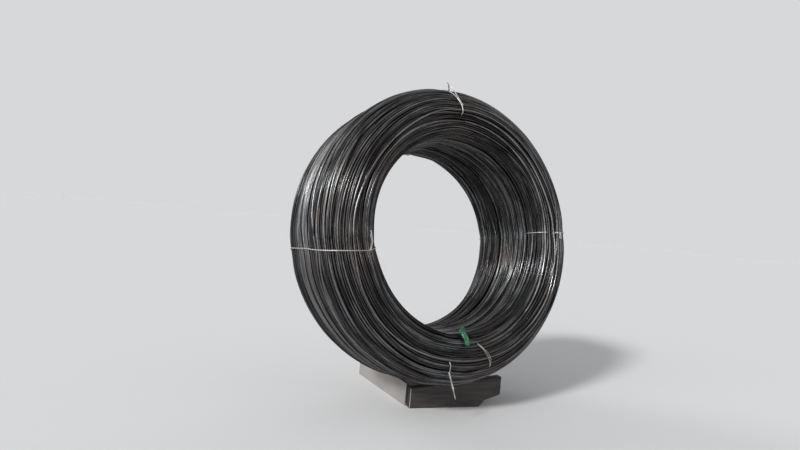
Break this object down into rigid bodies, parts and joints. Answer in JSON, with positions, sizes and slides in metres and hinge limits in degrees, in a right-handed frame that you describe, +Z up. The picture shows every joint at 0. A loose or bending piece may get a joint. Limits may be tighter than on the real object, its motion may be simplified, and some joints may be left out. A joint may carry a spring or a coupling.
{
  "type": "wire coil",
  "caption": "Coil of dark drawn steel wire with an open bore, bound with tie wires. It stands on its rim, leaning back a little, on a short steel channel with a wedge-shaped timber at its front end.",
  "frame": {"origin": "on the floor, in the plane of the channel's underside, straight below the middle of the coil", "axes": "+Y runs level along the channel, from the coil's front end towards its back, +X is to the right seen from the front end, +Z is up. The coil's own axis dips 8 degrees below +Y towards the back."},
  "size_m": [0.9998, 0.555, 1.0901],
  "materials": {
    "drawn_wire": "dark drawn steel with a lubricant film, semi-gloss",
    "tie_wire": "thin light galvanised wire, dull",
    "marker_plastic": "thin green plastic strip",
    "channel_steel": "pale grey paint under floor dust, worn",
    "block_timber": "old timber darkened by oil and dirt"
  },
  "bodies": {
    "root": {"wire_coil": "drawn_wire", "tie_left": "tie_wire", "tie_top": "tie_wire", "tie_right": "tie_wire", "tie_bottom": "tie_wire", "marker_strip": "marker_plastic", "marker_tie": "tie_wire", "trough_channel": "channel_steel", "end_block": "block_timber"}
  },
  "joints": []
}
